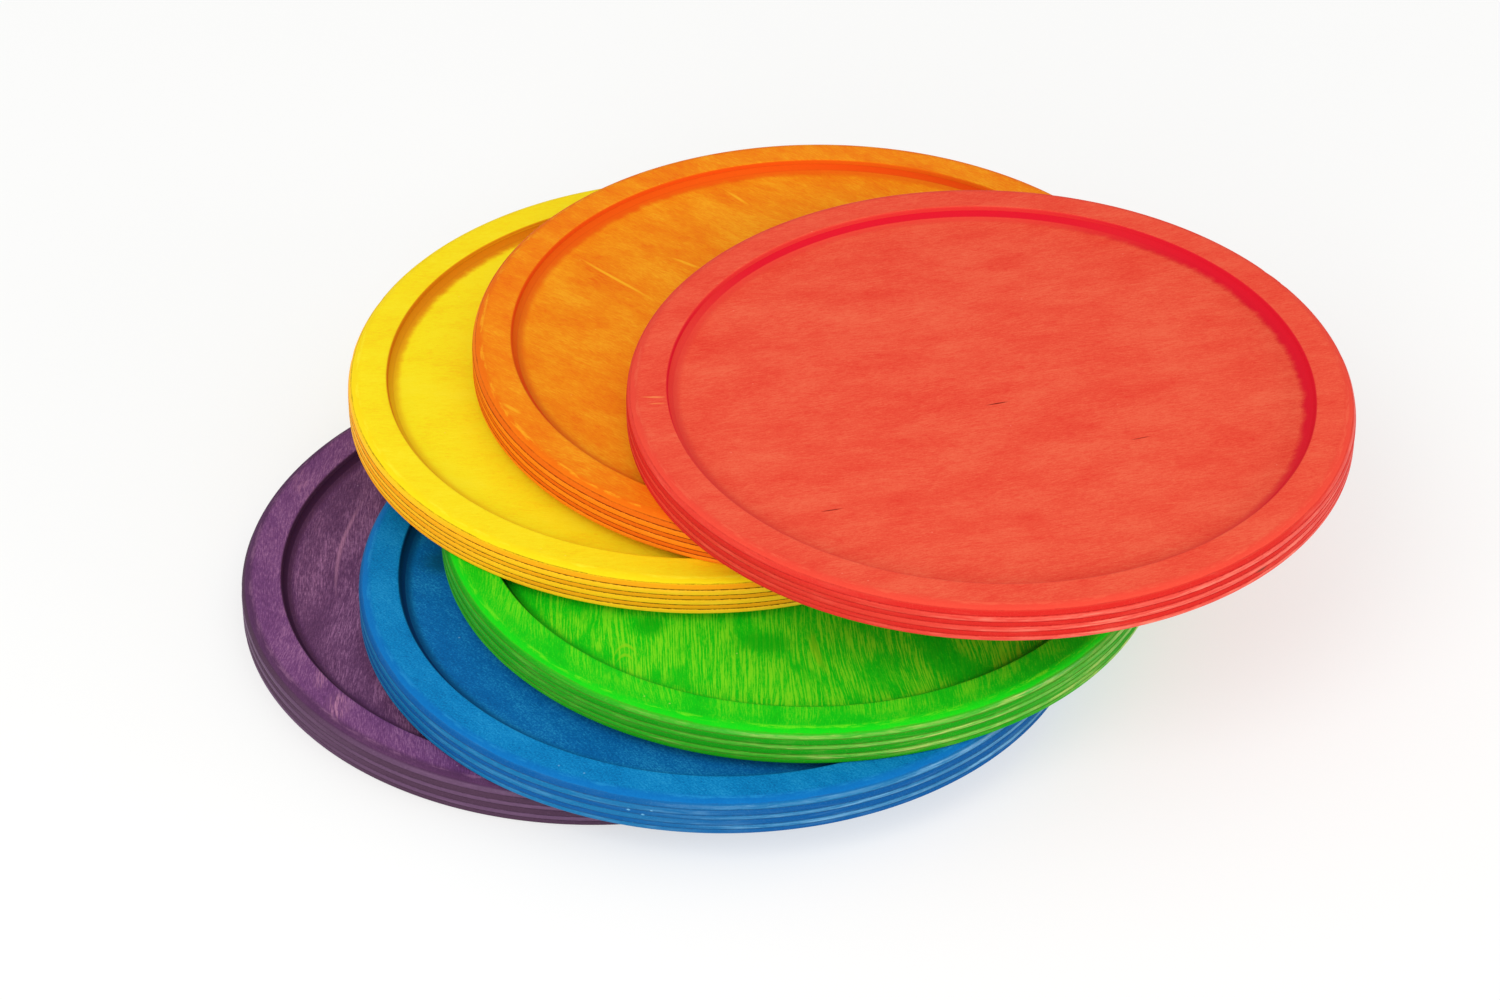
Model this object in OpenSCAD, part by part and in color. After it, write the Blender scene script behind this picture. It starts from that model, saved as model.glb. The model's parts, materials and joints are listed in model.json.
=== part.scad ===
// Set of six loose round plates of dyed birch plywood, stacked flat in an open spiral.
// All six plates are alike. Each is bonded from seven veneers whose grain turns a quarter turn from
// one to the next, and has a shallow round recess milled into its upper face.
// Millimetres, +Z up. The origin is the centre of the lowest plate's underside.

/* [Plate] */
// Diameter of a plate
plate_d = 170; // [150:1:240]
// Thickness of a plate
plate_t = 9; // [8.4:0.1:10]
// Width of the rim, from the outer edge to the edge of the recess
rim_w = 9.5; // [7:0.5:14]
// Depth of the recess
recess_depth = 2.6; // [2.4:0.1:3]
// Radius of the cove that joins the floor of the recess to its wall
cove_r = 3; // [3:0.1:5]
// Radius of the round along the upper outer edge
top_round = 3; // [1:0.1:4]
// Radius of the round along the lower outer edge
bottom_round = 0.6; // [0.3:0.1:1.5]

/* [Veneers] */
// Thickness of the face veneer, which is sanded thinner than the rest
face_veneer_t = 0.95; // [0.6:0.05:1]
// Thickness of each of the three veneers that run across the face grain
cross_veneer_t = 1.2; // [1:0.05:1.25]
// Thickness of each of the two inner veneers that run along the face grain
long_veneer_t = 1.5; // [1.45:0.05:1.6]

/* [Places of the plates] */
// Centre of the blue plate from the centre of the purple one
blue_at = [29, -13]; // [-60:0.1:60]
// Centre of the green plate from the centre of the purple one
green_at = [47.7, 0.3]; // [-80:0.1:80]
// Centre of the yellow plate from the centre of the purple one
yellow_at = [23.4, 42.2]; // [-100:0.1:100]
// Centre of the orange plate from the centre of the purple one
orange_at = [53.4, 45.2]; // [-100:0.1:100]
// Centre of the red plate from the centre of the purple one
red_at = [91.3, 10.2]; // [-120:0.1:120]

/* [Hidden] */
// The plates from the bottom up, with the place of each
DYES = ["purple", "blue", "green", "yellow", "orange", "red"];
PLACES = [[0, 0], blue_at, green_at, yellow_at, orange_at, red_at];

// Dye on the long grain of each plate, and on its end grain, which soaks up more of it
LONG_GRAIN = [[0.47, 0.27, 0.49], [0.08, 0.51, 0.76], [0.10, 0.74, 0.10],
              [0.97, 0.88, 0.11], [0.94, 0.55, 0.08], [0.93, 0.30, 0.23]];
END_GRAIN = [[0.33, 0.18, 0.33], [0.06, 0.33, 0.59], [0.07, 0.55, 0.08],
             [0.86, 0.65, 0.06], [0.78, 0.31, 0.04], [0.80, 0.10, 0.12]];

// The veneers from the bottom up. The back veneer takes what the others leave of the thickness.
VENEERS = ["back_veneer", "lower_cross_veneer", "lower_long_veneer", "centre_cross_veneer",
           "floor_veneer", "upper_cross_veneer", "face_veneer"];
back_veneer_t = plate_t - face_veneer_t - 3 * cross_veneer_t - 2 * long_veneer_t;
THICKNESSES = [back_veneer_t, cross_veneer_t, long_veneer_t, cross_veneer_t,
               long_veneer_t, cross_veneer_t, face_veneer_t];

plate_r = plate_d / 2;
recess_r = plate_r - rim_w;
floor_z = plate_t - recess_depth;
cove_z = floor_z + cove_r;
cove_overhang = cove_r - recess_depth;
floor_r = recess_r - sqrt(cove_r * cove_r - cove_overhang * cove_overhang);

// Height of a veneer's underside in its plate
function veneer_z(v) = v == 0 ? 0 : veneer_z(v - 1) + THICKNESSES[v - 1];

// Cross veneers lie at every second place, so they are the odd ones
function runs_across(v) = v % 2 == 1;

// Half section of the round blank, from its axis to its rounded edge
module blank_section() {
    square([plate_r - top_round, plate_t]);
    square([plate_r - bottom_round, plate_t - top_round]);
    translate([0, bottom_round])
        square([plate_r, plate_t - top_round - bottom_round]);
    translate([plate_r - top_round, plate_t - top_round])
        circle(top_round, $fn = 64);
    translate([plate_r - bottom_round, bottom_round])
        circle(bottom_round, $fn = 32);
}

// Half section of what the cutter takes out: the flat floor and the cove round it
module recess_section() {
    translate([0, floor_z])
        square([floor_r, plate_t]);
    translate([floor_r, cove_z])
        circle(cove_r, $fn = 64);
}

// One veneer: the slice of the finished plate that lies between two glue lines
module veneer(v) {
    rotate_extrude($fn = 180)
        intersection() {
            difference() {
                blank_section();
                recess_section();
            }
            translate([0, veneer_z(v)])
                square([plate_r, THICKNESSES[v]]);
        }
}

// One veneer of one plate, dyed and in its place in the stack
module dyed_veneer(p, v) {
    color(runs_across(v) ? END_GRAIN[p] : LONG_GRAIN[p])
        translate([PLACES[p].x, PLACES[p].y, p * plate_t])
            veneer(v);
}

for (p = [0 : len(DYES) - 1])
    for (v = [0 : len(VENEERS) - 1])
        dyed_veneer(p, v);
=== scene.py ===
import json
import math
import random

import bmesh
import bpy
from mathutils import Matrix, Vector, noise


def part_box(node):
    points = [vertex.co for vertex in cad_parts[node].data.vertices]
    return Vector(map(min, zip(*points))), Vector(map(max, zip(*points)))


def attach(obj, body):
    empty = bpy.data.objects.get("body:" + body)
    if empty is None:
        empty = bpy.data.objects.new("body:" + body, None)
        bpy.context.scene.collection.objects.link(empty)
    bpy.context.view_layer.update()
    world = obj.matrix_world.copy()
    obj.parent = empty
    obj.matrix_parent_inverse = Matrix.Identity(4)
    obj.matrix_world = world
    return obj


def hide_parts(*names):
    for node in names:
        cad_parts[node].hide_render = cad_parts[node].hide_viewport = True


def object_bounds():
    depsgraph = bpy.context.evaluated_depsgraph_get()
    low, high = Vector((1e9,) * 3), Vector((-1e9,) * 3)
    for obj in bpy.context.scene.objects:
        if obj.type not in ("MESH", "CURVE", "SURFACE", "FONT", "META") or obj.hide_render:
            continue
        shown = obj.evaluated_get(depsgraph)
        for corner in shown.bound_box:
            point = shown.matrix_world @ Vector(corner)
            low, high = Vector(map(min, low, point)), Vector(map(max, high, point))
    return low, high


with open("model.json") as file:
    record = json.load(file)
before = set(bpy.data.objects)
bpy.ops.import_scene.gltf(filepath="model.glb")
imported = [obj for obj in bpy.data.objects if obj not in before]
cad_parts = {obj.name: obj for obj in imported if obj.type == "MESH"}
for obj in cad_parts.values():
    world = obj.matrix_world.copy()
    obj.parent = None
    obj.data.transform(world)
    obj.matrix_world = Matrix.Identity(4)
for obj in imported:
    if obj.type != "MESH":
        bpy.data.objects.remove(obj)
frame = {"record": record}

CAD_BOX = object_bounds()
MM = 0.001

# The turning of a dish. The frame gives its diameter, its height and its glue lines.
RIM_WIDTH = 9.5 * MM
COVE_R = 3.0 * MM
TOP_ROUND = 3.0 * MM
BOTTOM_ROUND = 0.6 * MM
RECESS_EDGE_EASE = 0.35 * MM

# Rings of the mesh: where they lie on the flats, as shares of a radius, and how many make a round
STEPS_ROUND = 384
UNDERSIDE_RINGS = (0.2, 0.45, 0.7, 0.88, 0.96, 0.985)
FLOOR_RINGS = (0.95, 0.8, 0.6, 0.4, 0.2)
BOTTOM_ROUND_STEPS = 4
TOP_ROUND_STEPS = 24
COVE_STEPS = 16
RIM_RING_INSET = 0.3 * MM
FLOOR_RING_INSET = 0.4 * MM
FLANK_MARGIN = 0.2 * MM

# Wear of the edge: grooves at the glue lines, washboard, waver and dents
GROOVE_DEPTH = 0.07 * MM
GROOVE_HALF_WIDTH = 0.11 * MM
GROOVE_REACH = 1.6 * GROOVE_HALF_WIDTH
WASHBOARD = 0.05 * MM
WAVER = 0.05 * MM
WAVER_RATE = 4
WAVER_HEIGHT = 3 * MM
WAVER_SPREAD = 50
WEAR_STARTS = 2.5 * MM
WEAR_EASE = 1.5 * MM
DENTS_PER_DISH = 26
DENT_HEIGHTS = (0.5, 8.2)
DENT_SIZES = (0.8, 2.4)
DENT_DEPTHS = (0.04, 0.14)

# Soft borders of the dye and of the painted sheen, in millimetres outward from the border that each
# one is used with
RIM_FLAT_ENDS = (-6.2, -4.2)
SHOULDER_STARTS = (-3.4, -1.8)
CORNER_STARTS = (-2.9, -2.3)
CORNER_ENDS = (-2.1, -1.5)
OUTSIDE_STARTS = (-1.6, -1.0)
RUBS_AND_SHEEN_START = (-1.6, -0.6)
RECESS_ENDS = (-0.1, 0.35)
FLOOR_ENDS = (-1.0, 1.2)
FOOT_STARTS = (-0.8, 1.2)
COVE_SHADE_STARTS = (-0.6, 1.3)

# How far each pattern moves the depth of the dye
POOL_DEPTH = 2.4
PATCH_DEPTH = 1.3
FIBRE_DEPTH = 2.2
PORE_DEPTH = 1.2
GRIT_DEPTH = 1.6

# Where each pattern starts to show and where it shows in full
POOL_SHOWS = (0.46, 0.6)
BREAKS_SHOW = (0.45, 0.6)
FIBRE_SHOWS = (0, 0.3)
WEAR_AND_SHEEN_SHOWS = (0.36, 0.6)
BARE_AND_SHEEN_SHOWS = (0.5, 0.66)
SCUFFS_AND_SHEEN_SHOW = (0.36, 0.6)
CUT_SHOWS = (0.44, 0.58)
CORNER_RUB_SHOWS = (0.48, 0.6)
RUB_AND_SHEEN_SHOWS = (0.52, 0.68)
STAIN_FADES = (0.6, 1.35)
SPECK_FADES = (0.02, 0.06)
GLUE_FADES = (0.05, 0.17)
MID_SHEET_STARTS = (0.06, 0.36)
END_GRAIN_SHOWS = (0.2, 0.8)

# Streaks: the level of the pattern that shows, how soft they are, and how strong in each place
STREAK_LEVEL = 0.62
STREAK_LEVEL_DROP = 0.24
STREAK_SOFTNESS = 0.1
POOLS_HIDE_STREAKS = 0.9
RIM_STREAKS = 0.45
MORE_FLOOR_STREAKS = 0.5
EDGE_STREAKS = 0.05

# How strongly each thing tints the edge
DARK_FIBRES = 0.5
PALE_FIBRES = 0.18
# Painted sheen: the edge is painted paler on the near right side of every dish, as if lit from there
LEAST_SHEEN_AND_WEAR = 0.3
SHEEN_SIDE_PATCHES = 0.8
STRAY_RUBS_AND_SHEEN = 0.35
LEAST_CREST = 0.7
LEAST_FIBRE = 0.3
PAINTED_SHEEN_SIDE = (0.35, 0.95)

# The recess: how its wall and foot take the dye, and the painted shade on one side of it
SHOULDER_TINT = 0.8
LIP_TINT = 0.8
LONG_GRAIN_PALE = 1.75
DARKER_EACH_SHEET = 0.2
COVE_SHADE_SIDE = (0.3, 0.8)
COVE_SHADE_FRAY = 2.6
COVE_SHADE_GRIT = 0.8
RIDGE_OVER_GLUE = 0.3
RIDGE_FADES = (0.05, 0.22)
RIDGE_PALE = 0.55

# Glue lines: where they are laid bare, how strongly, and how much the saw's waver breaks them
FLANK_ENDS = (-0.35, 0.15)
WALL_STARTS = (-0.12, 0.12)
RUBBED_GLUE = 0.6
WALL_GLUE = 0.12
GLUE_STRENGTH = 0.8
GLUE_BREAKS = 2.2

# Marks and specks
STAIN_FRAY = 0.6
STAIN_LIMITS = (2, 4)
SPECK_PITCH = 5
SPECK_LOT = 0.8
SPECK_TINT = 0.6

# The surface's shine and relief
BARE_ROUGHNESS = 0.62
FIBRE_ROUGHNESS = 0.12
SHEEN_SMOOTHS = 0.2
COAT = 0.05
SHEEN_SIDE_COAT = 0.35
COAT_ROUGHNESS = 0.32
WOOD_SPECULAR = 0.05
PORE_RELIEF = 0.5
FIBRE_RELIEF = 0.6
GLUE_RELIEF = 1.2
RELIEF_STRENGTH = 0.6
RELIEF_DEPTH = 0.1 * MM

VENEERS = ["back_veneer", "lower_cross_veneer", "lower_long_veneer", "centre_cross_veneer",
           "floor_veneer", "upper_cross_veneer", "face_veneer"]
FLOOR_GLUE = 4
UPPER_GLUE = 5


def daylight(red, green, blue):
    """A colour as it is named on an 8-bit scale, in the linear light that shaders use."""
    channels = []
    for value in (red, green, blue):
        part = value / 255
        channels.append(part / 12.92 if part <= 0.04045 else ((part + 0.055) / 1.055) ** 2.4)
    return (*channels, 1.0)


# ---------------------------------------------------------------- finishes

class Field:
    """A number that varies over the wood. Arithmetic on it adds Math nodes to its finish."""

    def __init__(self, finish, socket):
        self.finish = finish
        self.socket = socket

    def maths(self, operation, *values):
        inputs = dict(enumerate(values))
        node = self.finish.node("ShaderNodeMath", {"operation": operation}, inputs)
        return Field(self.finish, node.outputs[0])

    def __add__(self, other):
        return self.maths("ADD", self, other)

    def __sub__(self, other):
        return self.maths("SUBTRACT", self, other)

    def __rsub__(self, other):
        return self.maths("SUBTRACT", other, self)

    def __mul__(self, other):
        return self.maths("MULTIPLY", self, other)

    def __truediv__(self, other):
        return self.maths("DIVIDE", self, other)

    def __pow__(self, other):
        return self.maths("POWER", self, other)

    def __mod__(self, other):
        return self.maths("MODULO", self, other)

    __radd__ = __add__
    __rmul__ = __mul__

    def above(self, level):
        """1 where the number is over level, else 0."""
        return self.maths("GREATER_THAN", self, level)

    def size(self):
        """The number without its sign."""
        return self.maths("ABSOLUTE", self)

    def smaller(self, other):
        return self.maths("MINIMUM", self, other)

    def larger(self, other):
        return self.maths("MAXIMUM", self, other)

    def rise(self, low, high):
        """0 under low, 1 over high, and smooth between them."""
        inputs = {"Value": self, "From Min": low, "From Max": high}
        node = self.finish.node("ShaderNodeMapRange", {"interpolation_type": "SMOOTHSTEP"}, inputs)
        return Field(self.finish, node.outputs["Result"])

    def toward(self, other, share):
        """This number where share is 0, and other where share is 1."""
        return self + (other - self) * share


class Finish:
    """A procedural material."""

    def __init__(self, name):
        self.material = bpy.data.materials.new(name)
        self.material.use_nodes = True
        self.tree = self.material.node_tree
        self.shader = self.tree.nodes["Principled BSDF"]

    def node(self, kind, settings=None, inputs=None):
        """Adds a node, makes its settings, and gives its sockets their values or links."""
        node = self.tree.nodes.new(kind)
        for name, value in (settings or {}).items():
            setattr(node, name, value)
        for name, value in (inputs or {}).items():
            self.feed(node.inputs[name], value)
        return node

    def feed(self, socket, value):
        if isinstance(value, Field):
            self.tree.links.new(value.socket, socket)
        elif isinstance(value, bpy.types.NodeSocket):
            self.tree.links.new(value, socket)
        else:
            socket.default_value = value

    def shade(self, **sockets):
        """Gives the shader's sockets their values or links, by their names with _ for a space."""
        for name, value in sockets.items():
            self.feed(self.shader.inputs[name.replace("_", " ")], value)

    def place(self, origin):
        """The point on the wood, in millimetres from origin."""
        inside = self.node("ShaderNodeTexCoord").outputs["Object"]
        moved = self.node("ShaderNodeVectorMath", {"operation": "SUBTRACT"}, {0: inside, 1: origin})
        inputs = {0: moved.outputs[0], "Scale": 1 / MM}
        return self.node("ShaderNodeVectorMath", {"operation": "SCALE"}, inputs).outputs[0]

    def split(self, vector):
        parts = self.node("ShaderNodeSeparateXYZ", inputs={0: vector}).outputs
        return [Field(self, part) for part in parts]

    def join(self, x, y, z):
        return self.node("ShaderNodeCombineXYZ", inputs={0: x, 1: y, 2: z}).outputs[0]

    def noise(self, vector, detail=2.0, roughness=0.5):
        inputs = {"Vector": vector, "Scale": 1.0, "Detail": detail, "Roughness": roughness}
        node = self.node("ShaderNodeTexNoise", {"noise_dimensions": "3D"}, inputs)
        return Field(self, node.outputs["Fac"])

    def cells(self, vector):
        """Distance to the nearest of many scattered points, and a random number for each."""
        node = self.node("ShaderNodeTexVoronoi", {"feature": "F1"}, {"Vector": vector, "Scale": 1.0})
        lot = self.split(node.outputs["Color"])[0]
        return Field(self, node.outputs["Distance"]), lot

    def blend(self, share, under, over):
        """The colour under, with over laid on it by share, which is kept between 0 and 1."""
        settings = {"data_type": "RGBA", "clamp_factor": True}
        return self.node("ShaderNodeMix", settings, {0: share, 6: under, 7: over}).outputs[2]


class Dye:
    """How one dish took its dye.

    grain is the way its face grain runs, in degrees; the grain bows round eye by bow. The colours
    come first, then how strongly each pattern shows: fibre, grit, pooling, and streaks, with their
    width and length in millimetres and the share of the face that they take. glue_show and
    crest_show are for the edge, and cove_shade_side is the side where the cove has painted shade."""

    def __init__(self, grain, face, floor, pale, deep, streaked, shoulder, cove, lip, flank,
                 end_grain, crest, glue, eye=(0, 300), bow=0.05, fibre=0.4, grit=0.3,
                 pooling=0.4, streak=0.2, streak_width=0.6, streak_length=13, streak_share=0.5,
                 glue_show=0.5, crest_show=0.3, cove_shade_side=(0, 0), marks=()):
        self.grain = math.radians(grain)
        self.face = daylight(*face)
        self.floor = daylight(*floor)
        self.pale = daylight(*pale)
        self.deep = daylight(*deep)
        self.streaked = daylight(*streaked)
        self.shoulder = daylight(*shoulder)
        self.cove = daylight(*cove)
        self.lip = daylight(*lip)
        self.flank = daylight(*flank)
        self.end_grain = daylight(*end_grain)
        self.crest = daylight(*crest)
        self.glue = daylight(*glue)
        self.eye = eye
        self.bow = bow
        self.fibre = fibre
        self.grit = grit
        self.pooling = pooling
        self.streak = streak
        self.streak_width = streak_width
        self.streak_length = streak_length
        self.streak_share = streak_share
        self.glue_show = glue_show
        self.crest_show = crest_show
        self.cove_shade_side = cove_shade_side
        self.marks = marks


class Mark:
    """A streak, slit or stain: its place from the dish's centre in millimetres, its half length
    and half width, its turn from the grain in degrees, its colour and its strength. It may bend,
    stray with the grain's drift, and be broken up by the streaks. One on the edge has a height."""

    def __init__(self, x, y, length, width, turn, colour, strength, bend=0.0, stray=0.0,
                 broken=0.0, height=None):
        self.x = x
        self.y = y
        self.length = length
        self.width = width
        self.turn = math.radians(turn)
        self.colour = daylight(*colour)
        self.strength = strength
        self.bend = bend
        self.stray = stray
        self.broken = broken
        self.height = height


PINK = (186, 128, 160)
AMBER = (252, 184, 36)
SLIT = (120, 18, 10)
PALE_BLUE = (110, 176, 214)
# crest is the pale of worn veneer ridges, and also the colour of the painted sheen on the edge
DYES = {
    "purple": Dye(grain=89, face=(112, 65, 115), floor=(104, 63, 101), pale=(182, 128, 168),
                  deep=(60, 32, 62), streaked=(156, 104, 146), shoulder=(72, 42, 72),
                  cove=(66, 33, 64), lip=(76, 42, 70), flank=(96, 68, 96),
                  end_grain=(76, 52, 72), crest=(158, 120, 154), glue=(50, 32, 46),
                  fibre=0.75, grit=0.35, pooling=0.4, streak=0.6, streak_width=0.36,
                  streak_length=4.5, streak_share=0.45, glue_show=0.45, crest_show=0.25,
                  marks=(Mark(-62, 9.5, 22, 0.7, -5, PINK, 0.6, 0.0057, 2, 0.3),
                         Mark(-58.5, -54, 6.5, 3.2, 0, PINK, 0.8, broken=0.9),
                         Mark(-63, -43.5, 5, 2.0, 0, PINK, 0.6, broken=0.9),
                         Mark(-73.7, 32, 7, 2.4, 0, PINK, 0.35, broken=0.9))),
    "blue": Dye(grain=-50, face=(7, 124, 188), floor=(8, 103, 174), pale=(46, 160, 214),
                deep=(4, 72, 132), streaked=(24, 138, 198), shoulder=(8, 102, 174),
                cove=(4, 54, 110), lip=(6, 66, 122), flank=(14, 108, 160),
                end_grain=(8, 84, 148), crest=(122, 178, 216), glue=(46, 66, 100),
                eye=(-40, 70), bow=0.12, fibre=0.45, grit=1.2, pooling=0.45, streak=0.12,
                streak_width=0.5, glue_show=0.55, crest_show=0.42,
                marks=(Mark(-64, 6, 9, 7, 60, (4, 74, 84), 0.6, stray=8),
                       Mark(-46, 30, 16, 9, 70, (6, 84, 118), 0.4, stray=8),
                       Mark(-14, -44, 16, 8, 80, (5, 72, 126), 0.35, stray=10),
                       Mark(-20.3, -82.5, 0.5, 0.3, 60, PALE_BLUE, 0.9, height=5.0),
                       Mark(-17.1, -83.3, 0.5, 0.3, 62, PALE_BLUE, 0.9, height=4.2),
                       Mark(-15.2, -83.6, 0.4, 0.25, 62, PALE_BLUE, 0.9, height=5.6))),
    "green": Dye(grain=93, face=(20, 202, 20), floor=(18, 204, 19), pale=(140, 230, 36),
                 deep=(4, 158, 12), streaked=(118, 226, 30), shoulder=(16, 200, 18),
                 cove=(14, 110, 10), lip=(24, 158, 14), flank=(46, 170, 30),
                 end_grain=(20, 150, 18), crest=(184, 198, 100), glue=(92, 96, 34),
                 fibre=0.5, grit=0.3, pooling=0.3, streak=1.0,
                 streak_width=0.42, streak_length=11, streak_share=0.62, glue_show=0.7,
                 crest_show=0.6,
                 marks=(Mark(2.5, -53, 9, 1.3, 9, (150, 206, 24), 0.7, 0.012, 1, 0.4),
                        Mark(-40.5, -51, 3.6, 0.9, 90, (148, 216, 30), 0.6, -0.5, 1),
                        Mark(-40.5, -54.5, 2.6, 0.8, 90, (148, 216, 30), 0.6, -0.6, 1),
                        Mark(-35, -44, 5, 4.5, 0, (14, 182, 14), 0.9, stray=3),
                        Mark(-9, -50, 9, 5.5, 80, (14, 186, 14), 0.85, stray=6))),
    "yellow": Dye(grain=4, face=(249, 224, 24), floor=(250, 230, 25), pale=(253, 236, 50),
                  deep=(246, 190, 20), streaked=(251, 230, 34), shoulder=(244, 210, 18),
                  cove=(224, 132, 14), lip=(246, 206, 22), flank=(255, 190, 28),
                  end_grain=(244, 160, 18), crest=(255, 222, 80), glue=(88, 44, 2),
                  eye=(60, 110), bow=0.12, fibre=0.65, grit=0.35, pooling=0.5, streak=0.15,
                  streak_width=0.8, glue_show=1.0, crest_show=0.15, cove_shade_side=(-0.6, 0.6)),
    "orange": Dye(grain=-38, face=(241, 132, 15), floor=(241, 138, 15), pale=(249, 176, 34),
                  deep=(235, 96, 10), streaked=(246, 158, 22), shoulder=(230, 104, 10),
                  cove=(233, 80, 10), lip=(228, 108, 14), flank=(238, 126, 18),
                  end_grain=(224, 100, 12), crest=(252, 176, 62), glue=(136, 44, 4),
                  eye=(-30, 90), bow=0.12, fibre=0.85, grit=0.35, pooling=0.8, streak=0.3,
                  streak_width=0.7, glue_show=1.2, crest_show=0.35, cove_shade_side=(-0.4, 0.6),
                  marks=(Mark(-51, 25, 15, 0.6, -7, AMBER, 0.8, 0.0, 4),
                         Mark(-33.5, 32.7, 5, 0.6, 5, AMBER, 0.7, 0.0, 4),
                         Mark(-21.5, 61.5, 5, 0.6, -10, AMBER, 0.7, 0.0, 4),
                         Mark(-74, -33, 4, 0.7, -8, AMBER, 0.6, 0.0, 4))),
    "red": Dye(grain=16, face=(233, 81, 58), floor=(233, 82, 58), pale=(241, 114, 80),
               deep=(222, 42, 34), streaked=(240, 108, 76), shoulder=(226, 68, 52),
               cove=(212, 22, 42), lip=(220, 62, 50), flank=(219, 58, 45),
               end_grain=(208, 38, 32), crest=(244, 130, 106), glue=(166, 18, 22),
               eye=(30, 140), bow=0.1, fibre=0.75, grit=0.6, pooling=0.6, streak=0.15,
               streak_width=0.6, glue_show=0.6, crest_show=0.5, cove_shade_side=(0.95, 0.3),
               marks=(Mark(1.5, -4.2, 3.2, 0.3, 0, SLIT, 0.95),
                      Mark(33.9, -17.7, 2.8, 0.22, 2, SLIT, 0.75),
                      Mark(-37.6, -45.7, 3.0, 0.26, -2, SLIT, 0.85),
                      Mark(-78.5, -6, 3.4, 0.5, -16, (246, 152, 84), 0.6, stray=3, broken=0.3),
                      Mark(-77.5, -8.6, 2.6, 0.4, -12, (246, 148, 80), 0.5, stray=3, broken=0.3),
                      Mark(58, -62, 2.6, 0.5, 27, (110, 60, 44), 0.8, height=2.6))),
}


def recess_depth():
    """The depth of the recess, from the mounts on the topmost dish's rim and floor."""
    heights = {mount["name"]: mount["pos_m"][2] for mount in frame["record"]["mounts"]}
    return heights["top_rim_face"] - heights["top_recess_floor"]


RECESS_DEPTH = recess_depth()


class Dish:
    """The sizes of one dish, read from the nodes that it stands for."""

    def __init__(self, colour):
        self.colour = colour
        self.dye = DYES[colour]
        self.nodes = [f"{colour}_{veneer}" for veneer in VENEERS]
        boxes = [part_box(node) for node in self.nodes]
        base_z = boxes[0][0][2]
        top_z = boxes[-1][1][2]
        low, high = boxes[1]
        self.radius = (high[0] - low[0]) / 2
        self.centre = Vector(((low[0] + high[0]) / 2, (low[1] + high[1]) / 2, base_z))
        self.thickness = top_z - self.centre.z
        self.glue_lines = [upper[2] - self.centre.z for lower, upper in boxes[:-1]]
        self.recess_r = self.radius - RIM_WIDTH
        self.floor_z = self.thickness - RECESS_DEPTH
        overhang = COVE_R - RECESS_DEPTH
        self.floor_r = self.recess_r - math.sqrt(COVE_R ** 2 - overhang ** 2)


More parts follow.
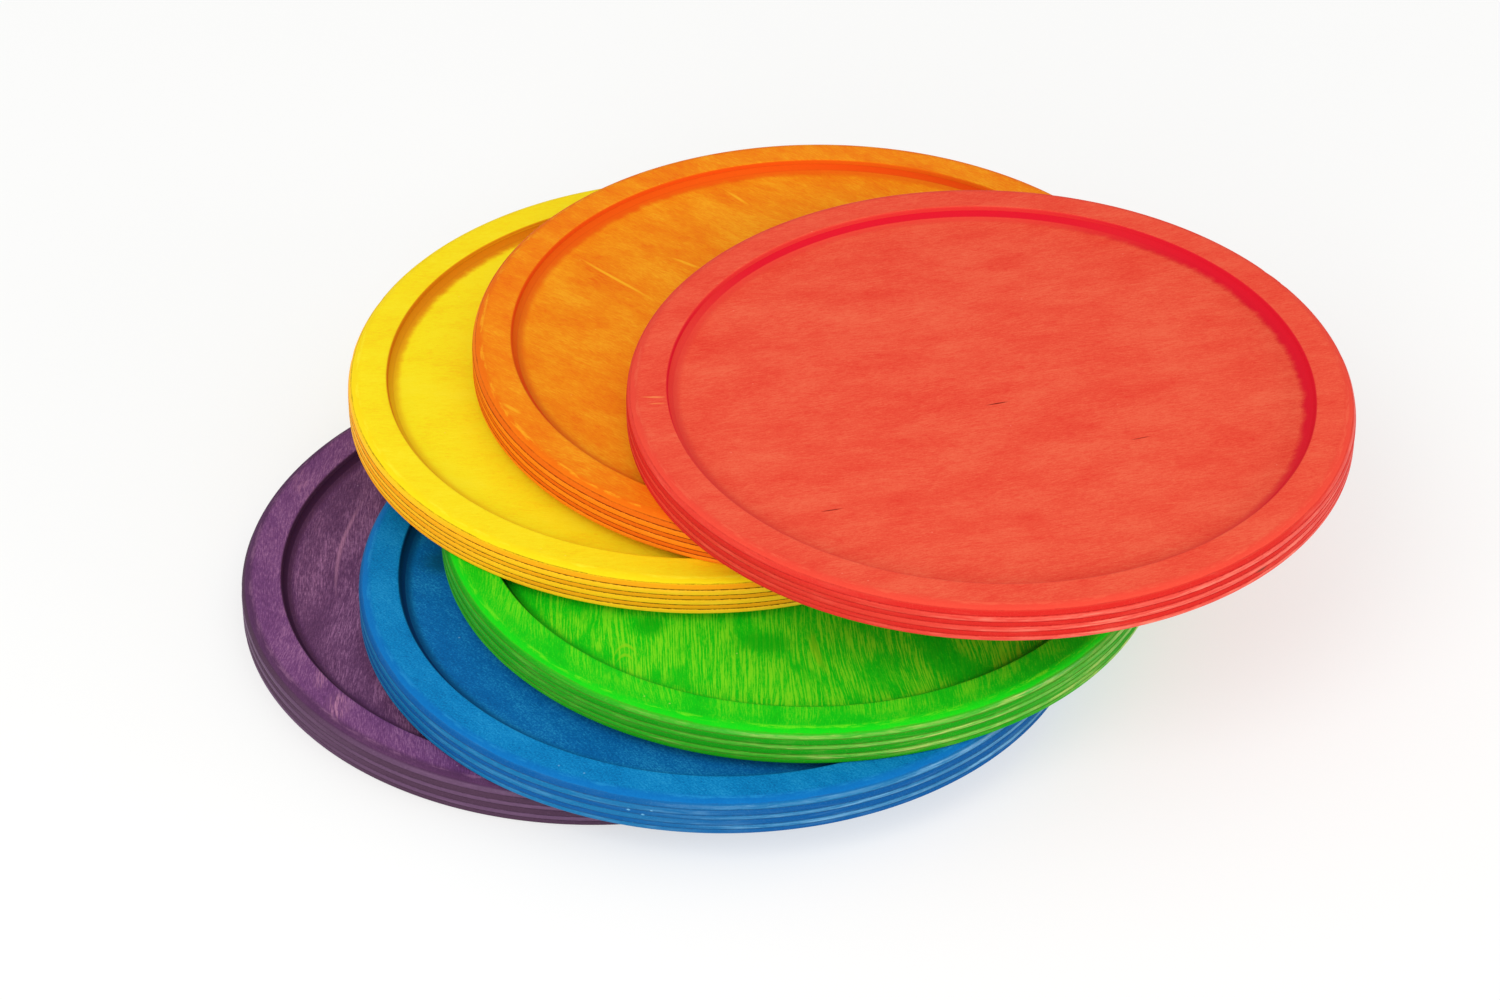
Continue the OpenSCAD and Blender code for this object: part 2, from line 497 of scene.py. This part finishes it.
class Birch(Finish):
    """Dyed birch plywood: grained faces, and a striped edge that shows the veneers. Lengths in
    it are millimetres from the middle of the dish's underside."""

    def __init__(self, dish):
        super().__init__(f"{dish.colour}_dyed_birch")
        self.dye = dish.dye
        self.radius = dish.radius / MM
        self.recess_r = dish.recess_r / MM
        self.floor_r = dish.floor_r / MM
        self.glue_lines = [line / MM for line in dish.glue_lines]
        self.x, self.y, self.z = self.split(self.place(dish.centre))
        self.reach = (self.x * self.x + self.y * self.y) ** 0.5
        self.topside = self.z.above(dish.thickness / MM / 2)
        self.count_veneers()
        self.run_grain()
        self.make_patterns()

    def count_veneers(self):
        """Which veneer the point is in, counted from the back, and how far it lies from a glue
        line, with the saw's waver on the lines."""
        across_rate = 1.3
        up_rate = 0.5
        waver = 0.14
        far_from_glue = 9
        vector = self.join(self.x * across_rate, self.y * across_rate, self.z * up_rate)
        self.ragged = self.noise(vector, detail=3.0, roughness=0.75) - 0.5
        height = self.z + self.ragged * waver
        self.sheet = 0
        self.glue_gap = far_from_glue
        for line in self.glue_lines:
            gap = height - line
            self.sheet = gap.above(0) + self.sheet
            self.glue_gap = gap.size().smaller(self.glue_gap)
        self.crosswise = self.sheet % 2
        self.mid_sheet = self.glue_gap.rise(*MID_SHEET_STARTS)

    def run_grain(self):
        """Distances along the grain and over it, which swap in the crosswise veneers. The grain
        bows round an eye, as it does in a veneer peeled from the log."""
        drift_length = 50
        drift_width = 28
        drift_size = 9
        sheet_step = 3.7
        cos_grain = math.cos(self.dye.grain)
        sin_grain = math.sin(self.dye.grain)
        eye_along, eye_over = self.dye.eye
        along_face = self.x * cos_grain + self.y * sin_grain
        over_face = self.y * cos_grain - self.x * sin_grain
        self.along = along_face.toward(over_face, self.crosswise)
        self.side = over_face.toward(along_face, self.crosswise) - eye_over
        vector = self.join(self.along / drift_length, self.side / drift_width, self.sheet * sheet_step)
        self.drift = self.noise(vector, detail=1.5) - 0.5
        ahead = (self.along - eye_along) * self.dye.bow
        self.over = (self.side * self.side + ahead * ahead) ** 0.5 + self.drift * drift_size
        facing = along_face / self.reach
        end_on = (facing * facing).toward(1 - facing * facing, self.crosswise)
        self.long_on = 1 - end_on.rise(*END_GRAIN_SHOWS)

    def grain_noise(self, length, width, detail=2.0, roughness=0.5, offset=0.0):
        """Noise drawn out along the grain. The offset sets one pattern apart from another."""
        side_pitch = 15
        sheet_step = 11.3
        depth = self.side / side_pitch + self.z / width + self.sheet * sheet_step
        vector = self.join(self.along / length + offset, self.over / width, depth)
        return self.noise(vector, detail, roughness)

    def cloud(self, across, up, detail, roughness):
        """Noise that ignores the grain, with one pitch across the dish and one up its edge."""
        vector = self.join(self.x / across, self.y / across, self.z / up)
        return self.noise(vector, detail, roughness)

    def make_patterns(self):
        dye = self.dye
        near_side, far_side = PAINTED_SHEEN_SIDE
        self.fibres = self.grain_noise(length=1.9, width=0.3, detail=3.0, roughness=0.75)
        self.pores = self.grain_noise(length=1.6, width=0.22, detail=1.0, offset=40)
        self.streaks = self.grain_noise(dye.streak_length, dye.streak_width, detail=3.0,
                                        roughness=0.6, offset=80)
        self.pools = self.grain_noise(length=19, width=12, detail=4.0, roughness=0.55, offset=120)
        self.patches = self.grain_noise(length=7, width=3, detail=3.0, roughness=0.65, offset=160)
        self.grit = self.cloud(across=0.5, up=0.5, detail=2.0, roughness=0.7)
        self.rub_and_sheen = self.cloud(across=14, up=1.6, detail=4.0, roughness=0.65)
        self.scuffs_and_sheen = self.cloud(across=7, up=0.4, detail=4.0, roughness=0.7)
        # Painted sheen: toward the near right of each dish the edge is painted paler, as if lit from
        # there
        toward_sheen_side = (self.x - self.y) * math.sqrt(0.5)
        self.painted_sheen_side = toward_sheen_side.rise(self.radius * near_side, self.radius * far_side)

    def beyond(self, border, band):
        """0 inside a round border, 1 outside it, and smooth over a band about it."""
        low, high = band
        return self.reach.rise(border + low, border + high)

    def face(self):
        """The faces: how deep the dye stands sets the tone, and streaks show where it took
        thinly."""
        dye = self.dye
        on_floor = (1 - self.beyond(self.floor_r, FLOOR_ENDS)) * self.topside
        on_flat = 1 - self.beyond(self.radius, RIM_FLAT_ENDS)
        depth = (self.pools - 0.5) * (POOL_DEPTH * dye.pooling)
        depth = depth + (self.patches - 0.5) * (PATCH_DEPTH * dye.pooling)
        depth = depth + (0.5 - self.fibres) * (FIBRE_DEPTH * dye.fibre)
        depth = depth + (self.pores - 0.5) * (PORE_DEPTH * dye.fibre)
        depth = depth + (self.grit - 0.5) * (GRIT_DEPTH * dye.grit)
        thin = STREAK_LEVEL - dye.streak_share * STREAK_LEVEL_DROP
        streaked = self.streaks.rise(thin, thin + STREAK_SOFTNESS)
        streaked = streaked * (1 - self.pools.rise(*POOL_SHOWS) * POOLS_HIDE_STREAKS)
        streaked = streaked * (on_flat * (RIM_STREAKS + on_floor * MORE_FLOOR_STREAKS) + EDGE_STREAKS)
        face = self.blend(on_floor, dye.face, dye.floor)
        face = self.blend(streaked * dye.streak, face, dye.streaked)
        face = self.blend(depth, face, dye.deep)
        face = self.blend(0 - depth, face, dye.pale)
        for mark in dye.marks:
            if mark.height is None:
                breaks = 1 - mark.broken + self.streaks.rise(*BREAKS_SHOW) * mark.broken
                face = self.blend(self.stain(mark) * self.topside * breaks, face, mark.colour)
        return face

    def edge(self):
        """The edge: end grain drinks more dye than long grain, so each veneer changes round the
        dish, and the middle of each is painted pale: wear, and a painted sheen strongest near right."""
        dye = self.dye
        edge = self.blend(self.long_on, dye.end_grain, dye.flank)
        edge = self.blend((self.fibres - 0.5).rise(*FIBRE_SHOWS) * DARK_FIBRES, edge, dye.end_grain)
        edge = self.blend((0.5 - self.fibres).rise(*FIBRE_SHOWS) * PALE_FIBRES, edge, dye.crest)
        # Painted sheen with wear: the middles of the long-grain veneers are painted pale in patches,
        # most on the near right
        wear_and_sheen = self.painted_sheen_side * (self.rub_and_sheen.rise(*WEAR_AND_SHEEN_SHOWS) * SHEEN_SIDE_PATCHES + LEAST_SHEEN_AND_WEAR)
        wear_and_sheen = wear_and_sheen + self.rub_and_sheen.rise(*BARE_AND_SHEEN_SHOWS) * STRAY_RUBS_AND_SHEEN
        crested = self.mid_sheet * self.long_on * wear_and_sheen * self.scuffs_and_sheen.rise(*SCUFFS_AND_SHEEN_SHOW)
        crested = crested * (LEAST_CREST + self.fibres)
        return self.blend(crested * dye.crest_show, edge, dye.crest)

    def cove(self, surface, inside, wall):
        """The recess's wall shows the face veneer and the one under it, and stands darkest where
        it is steep. On one side of some dishes the cove is painted darker as shade, up to a frayed
        edge, with a paler ridge over it."""
        dye = self.dye
        ridge_height = self.glue_lines[UPPER_GLUE] + RIDGE_OVER_GLUE
        near_side, far_side = COVE_SHADE_SIDE
        low, high = COVE_SHADE_STARTS
        foot = self.beyond(self.floor_r, FOOT_STARTS) * inside
        surface = self.blend(foot * LIP_TINT, surface, dye.lip)
        pale = LONG_GRAIN_PALE - self.sheet * DARKER_EACH_SHEET
        surface = self.blend(wall * (1 - self.long_on * pale), surface, dye.cove)
        # Painted shade: on one side of the dish the cove is darkened with the cove colour
        toward_cove_shade = self.x * dye.cove_shade_side[0] + self.y * dye.cove_shade_side[1]
        shaded_side = toward_cove_shade.rise(self.radius * near_side, self.radius * far_side)
        frayed = self.reach + (self.patches - 0.5) * COVE_SHADE_FRAY + (self.grit - 0.5) * COVE_SHADE_GRIT
        off_ridge = (self.z - ridge_height).size().rise(*RIDGE_FADES)
        cove_shaded = frayed.rise(self.floor_r + low, self.floor_r + high)
        cove_shaded = cove_shaded * inside * (1 - (1 - off_ridge) * RIDGE_PALE) * shaded_side
        return self.blend(cove_shaded, surface, dye.cove)

    def wear_and_sheen(self, surface):
        """Pale rubs on the shoulder, a pale band over the outer edge that is wear and painted sheen,
        the marks on the edge, and specks where the dye missed.
        """
        dye = self.dye
        corner = self.beyond(self.radius, CORNER_STARTS) * (1 - self.beyond(self.radius, CORNER_ENDS))
        corner_rub = corner * self.topside * self.scuffs_and_sheen.rise(*CORNER_RUB_SHOWS) * self.fibres
        surface = self.blend(corner_rub * dye.glue_show, surface, dye.pale)
        # Painted sheen with wear: the outer edge is painted pale in patches, more on the near right
        # side
        rubbed_and_sheen = self.rub_and_sheen.rise(*RUB_AND_SHEEN_SHOWS) * self.beyond(self.radius, RUBS_AND_SHEEN_START)
        rubbed_and_sheen = rubbed_and_sheen * (self.fibres - LEAST_FIBRE) * (LEAST_SHEEN_AND_WEAR + self.painted_sheen_side)
        surface = self.blend(rubbed_and_sheen * dye.crest_show, surface, dye.crest)
        for mark in dye.marks:
            if mark.height is not None:
                surface = self.blend(self.stain(mark), surface, mark.colour)
        vector = self.join(self.x / SPECK_PITCH, self.y / SPECK_PITCH, self.z / SPECK_PITCH)
        distance, lot = self.cells(vector)
        speck = (1 - distance.rise(*SPECK_FADES)) * lot.above(SPECK_LOT)
        return self.blend(speck * SPECK_TINT, surface, dye.crest)

    def stain(self, mark):
        """Where a mark shows: a soft-ended oval, drawn out along the grain and frayed by it."""
        turn = self.dye.grain + mark.turn
        east = self.x - mark.x
        north = self.y - mark.y
        ahead = east * math.cos(turn) + north * math.sin(turn)
        if mark.height is None:
            aside = north * math.cos(turn) - east * math.sin(turn)
            aside = aside + ahead * ahead * mark.bend + self.drift * mark.stray
        else:
            aside = self.z - mark.height
        oval = ((ahead / mark.length) ** 2.0 + (aside / mark.width) ** 2.0) ** 0.5
        if mark.height is not None:
            near, far = STAIN_LIMITS
            square = mark.length ** 2
            oval = oval + (east * east + north * north).rise(square * near, square * far)
        return (1 - (oval + self.fibres * STAIN_FRAY).rise(*STAIN_FADES)) * mark.strength

    def finish(self):
        """Puts the colours together and joins them to the shader, with the sheen and relief."""
        dye = self.dye
        floor_glue = self.glue_lines[FLOOR_GLUE]
        upper_glue = self.glue_lines[UPPER_GLUE]
        flank_low, flank_high = FLANK_ENDS
        wall_low, wall_high = WALL_STARTS
        shoulder = self.beyond(self.radius, SHOULDER_STARTS) * self.topside
        outside = self.beyond(self.radius, OUTSIDE_STARTS)
        flank = (1 - self.z.rise(upper_glue + flank_low, upper_glue + flank_high)) * outside
        inside = (1 - self.beyond(self.recess_r, RECESS_ENDS)) * self.topside
        wall = self.z.rise(floor_glue + wall_low, floor_glue + wall_high) * inside
        surface = self.blend(shoulder * SHOULDER_TINT, self.face(), dye.shoulder)
        surface = self.blend(flank, surface, self.edge())
        surface = self.cove(surface, inside, wall)
        cut = flank.larger(outside * self.rub_and_sheen.rise(*CUT_SHOWS) * RUBBED_GLUE) + wall * WALL_GLUE
        glue_line = (1 - self.glue_gap.rise(*GLUE_FADES)) * (GLUE_STRENGTH + self.ragged * GLUE_BREAKS)
        glue_line = glue_line * cut
        surface = self.blend(glue_line * dye.glue_show, surface, dye.glue)
        surface = self.wear_and_sheen(surface)
        sheen = self.long_on * flank
        roughness = BARE_ROUGHNESS + self.fibres * FIBRE_ROUGHNESS - sheen * SHEEN_SMOOTHS
        coat = sheen * self.mid_sheet * (self.painted_sheen_side * SHEEN_SIDE_COAT + COAT)
        relief = self.pores * PORE_RELIEF - self.fibres * FIBRE_RELIEF - glue_line * GLUE_RELIEF
        inputs = {"Strength": RELIEF_STRENGTH, "Distance": RELIEF_DEPTH, "Height": relief}
        bump = self.node("ShaderNodeBump", inputs=inputs)
        self.shade(Base_Color=surface, Roughness=roughness, Coat_Weight=coat, Normal=bump.outputs[0],
                   Coat_Roughness=COAT_ROUGHNESS, Specular_IOR_Level=WOOD_SPECULAR)
        return self.material


# ---------------------------------------------------------------- dishes

def arc(middle_r, middle_z, size, start, end, steps):
    """Points round a circle from one angle to another, both in radians."""
    points = []
    for step in range(steps + 1):
        angle = start + (end - start) * step / steps
        points.append((middle_r + size * math.cos(angle), middle_z + size * math.sin(angle)))
    return points


def outline(dish):
    """The dish's half section, from the middle of its underside out and over to the middle of
    its floor, as (radius, height) pairs."""
    radius = dish.radius
    top = dish.thickness
    quarter = math.pi / 2
    shoulder = top - TOP_ROUND
    flat_edge = radius - TOP_ROUND
    ease = RECESS_EDGE_EASE
    cove_z = dish.floor_z + COVE_R
    cove_start = math.asin((cove_z - top + ease) / COVE_R)
    points = [(radius * share, 0.0) for share in UNDERSIDE_RINGS]
    points += arc(radius - BOTTOM_ROUND, BOTTOM_ROUND, BOTTOM_ROUND, -quarter, 0, BOTTOM_ROUND_STEPS)
    points += [(radius, z) for z in flank_heights(dish, BOTTOM_ROUND, shoulder)]
    points += arc(flat_edge, shoulder, TOP_ROUND, 0, quarter, TOP_ROUND_STEPS)
    points += [(flat_edge - RIM_RING_INSET, top), ((flat_edge + dish.recess_r) / 2, top)]
    points += [(dish.recess_r + 2 * ease, top), (dish.recess_r + ease, top)]
    points += [(dish.recess_r + 0.3 * ease, top - 0.3 * ease)]
    points += arc(dish.floor_r, cove_z, COVE_R, -cove_start, -quarter, COVE_STEPS)
    points += [(dish.floor_r - FLOOR_RING_INSET, dish.floor_z)]
    points += [(dish.floor_r * share, dish.floor_z) for share in FLOOR_RINGS]
    return points


def flank_heights(dish, low, high):
    """Heights down the straight flank, close together at each glue line."""
    heights = []
    for line in dish.glue_lines:
        for step in (-2, -1, 0, 1, 2, 5):
            heights.append(line + step * GROOVE_HALF_WIDTH)
    return sorted(z for z in heights if low + FLANK_MARGIN < z < high - FLANK_MARGIN)


def groove(dish, z):
    """How much of the full groove there is at a height: 1 on a glue line and 0 away from it."""
    gap = min(abs(z - line) for line in dish.glue_lines)
    return max(0.0, 1 - gap / GROOVE_REACH)


def veneer_at(dish, z):
    return sum(z > line for line in dish.glue_lines)


def worn_back(dish, dents, angle, z):
    """How far the edge lies inside its true round there: grooves at the glue lines, the
    washboard of hard and soft veneers, a slow waver, and dents."""
    facing = math.cos(angle - dish.dye.grain) ** 2
    end_on = 1 - facing if veneer_at(dish, z) % 2 else facing
    depth = GROOVE_DEPTH * groove(dish, z) + WASHBOARD * end_on
    around = Vector((math.cos(angle), math.sin(angle), z / WAVER_HEIGHT))
    depth += WAVER * (0.5 + 0.5 * noise.noise(around * WAVER_RATE + dish.centre * WAVER_SPREAD))
    for dent_angle, dent_z, dent_size, dent_depth in dents:
        apart = math.remainder(angle - dent_angle, math.tau) * dish.radius
        away = math.hypot(apart, z - dent_z) / dent_size
        if away < 1:
            depth += dent_depth * (1 - away ** 2) ** 2
    return depth


def turned_dish(dish):
    """The dish as one closed mesh, turned from its outline and then worn along its edge."""
    lots = random.Random(dish.colour)
    dents = [(lots.uniform(-math.pi, math.pi), lots.uniform(*DENT_HEIGHTS) * MM,
              lots.uniform(*DENT_SIZES) * MM, lots.uniform(*DENT_DEPTHS) * MM)
             for _ in range(DENTS_PER_DISH)]
    body = bmesh.new()
    under = body.verts.new(dish.centre)
    middle = body.verts.new(dish.centre + Vector((0, 0, dish.floor_z)))
    rings = []
    for r, z in outline(dish):
        ring = []
        worn_share = min(1.0, max(0.0, (r - (dish.radius - WEAR_STARTS)) / WEAR_EASE))
        for step in range(STEPS_ROUND):
            angle = math.tau * step / STEPS_ROUND
            reach = r
            if worn_share:
                reach -= worn_back(dish, dents, angle, z) * worn_share
            spot = Vector((reach * math.cos(angle), reach * math.sin(angle), z))
            ring.append(body.verts.new(dish.centre + spot))
        rings.append(ring)
    for step in range(STEPS_ROUND):
        after = (step + 1) % STEPS_ROUND
        body.faces.new((under, rings[0][after], rings[0][step]))
        body.faces.new((middle, rings[-1][step], rings[-1][after]))
        for inner, outer in zip(rings, rings[1:]):
            body.faces.new((inner[step], inner[after], outer[after], outer[step]))
    for face in body.faces:
        face.smooth = True
    bmesh.ops.recalc_face_normals(body, faces=body.faces)
    mesh = bpy.data.meshes.new(f"{dish.colour}_dish")
    body.to_mesh(mesh)
    body.free()
    piece = bpy.data.objects.new(f"{dish.colour}_dish", mesh)
    bpy.context.scene.collection.objects.link(piece)
    return piece


def lay_dishes():
    for colour in DYES:
        dish = Dish(colour)
        piece = turned_dish(dish)
        piece.data.materials.append(Birch(dish).finish())
        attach(piece, f"{colour}_plate")
        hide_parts(*dish.nodes)


# ---------------------------------------------------------------- studio

CAMERA_DISTANCE = 1.058
CAMERA_LENS = 108.1
CAMERA_SENSOR = 36.0
CAMERA_ELEVATION = math.radians(36.84)
CAMERA_TURN = math.radians(0.21)
CAMERA_ROLL = math.radians(0.353)
AIM_FROM_MIDDLE = Vector((-10.3 * MM, -15.4 * MM, 0.0))

# Each lamp: its name, its place from the middle of the stack, its width and its watts
LAMPS = (("front_softbox", (-0.7, -0.9, 1.25), 1.2, 9),
         ("low_softbox", (-0.35, -1.3, 0.45), 0.6, 5),
         ("side_softbox", (1.15, -0.3, 0.26), 0.5, 4))
FLOOR_SIZE = 40
PAPER = (0.4, 0.4, 0.4, 1)
PAPER_ROUGHNESS = 0.9
PAPER_SPECULAR = 0.1
PAPER_GLOW = 0.57
TENT_LIGHT = 0.72
WARM_WHITE = (1.0, 1.0, 0.99, 1)


def middle_of_stack():
    low, high = CAD_BOX
    return (Vector(low) + Vector(high)) / 2


def camera():
    ahead = Vector((math.sin(CAMERA_TURN) * math.cos(CAMERA_ELEVATION),
                    math.cos(CAMERA_TURN) * math.cos(CAMERA_ELEVATION), -math.sin(CAMERA_ELEVATION)))
    data = bpy.data.cameras.new("studio_camera")
    data.lens = CAMERA_LENS
    data.sensor_width = CAMERA_SENSOR
    seen_from = bpy.data.objects.new("studio_camera", data)
    turned = ahead.to_track_quat("-Z", "Y").to_matrix() @ Matrix.Rotation(CAMERA_ROLL, 3, "Z")
    spot = middle_of_stack() + AIM_FROM_MIDDLE - ahead * CAMERA_DISTANCE
    seen_from.matrix_world = Matrix.Translation(spot) @ turned.to_4x4()
    bpy.context.scene.collection.objects.link(seen_from)
    bpy.context.scene.camera = seen_from


def softbox(name, offset, size, power):
    """A round lamp, set off from the middle of the stack and turned to it."""
    aim = middle_of_stack()
    place = aim + Vector(offset)
    data = bpy.data.lights.new(name, "AREA")
    data.shape = "DISK"
    data.size = size
    data.energy = power
    source = bpy.data.objects.new(name, data)
    source.location = place
    source.rotation_euler = (aim - place).to_track_quat("-Z", "Y").to_euler()
    bpy.context.scene.collection.objects.link(source)


def studio():
    middle = middle_of_stack()
    base_z = CAD_BOX[0][2]
    bpy.ops.mesh.primitive_plane_add(size=FLOOR_SIZE, location=(middle.x, middle.y, base_z))
    floor = bpy.context.object
    floor.name = "studio_floor"
    paper = Finish("white_paper")
    paper.shade(Base_Color=PAPER, Roughness=PAPER_ROUGHNESS, Specular_IOR_Level=PAPER_SPECULAR,
                Emission_Color=WARM_WHITE, Emission_Strength=PAPER_GLOW)
    floor.data.materials.append(paper.material)
    world = bpy.data.worlds.new("white_tent")
    world.use_nodes = True
    sky = world.node_tree.nodes["Background"]
    sky.inputs["Color"].default_value = WARM_WHITE
    sky.inputs["Strength"].default_value = TENT_LIGHT
    bpy.context.scene.world = world
    for name, offset, size, power in LAMPS:
        softbox(name, offset, size, power)
    settings = bpy.context.scene.view_settings
    settings.view_transform = "Standard"
    settings.look = "None"


camera()
studio()
lay_dishes()
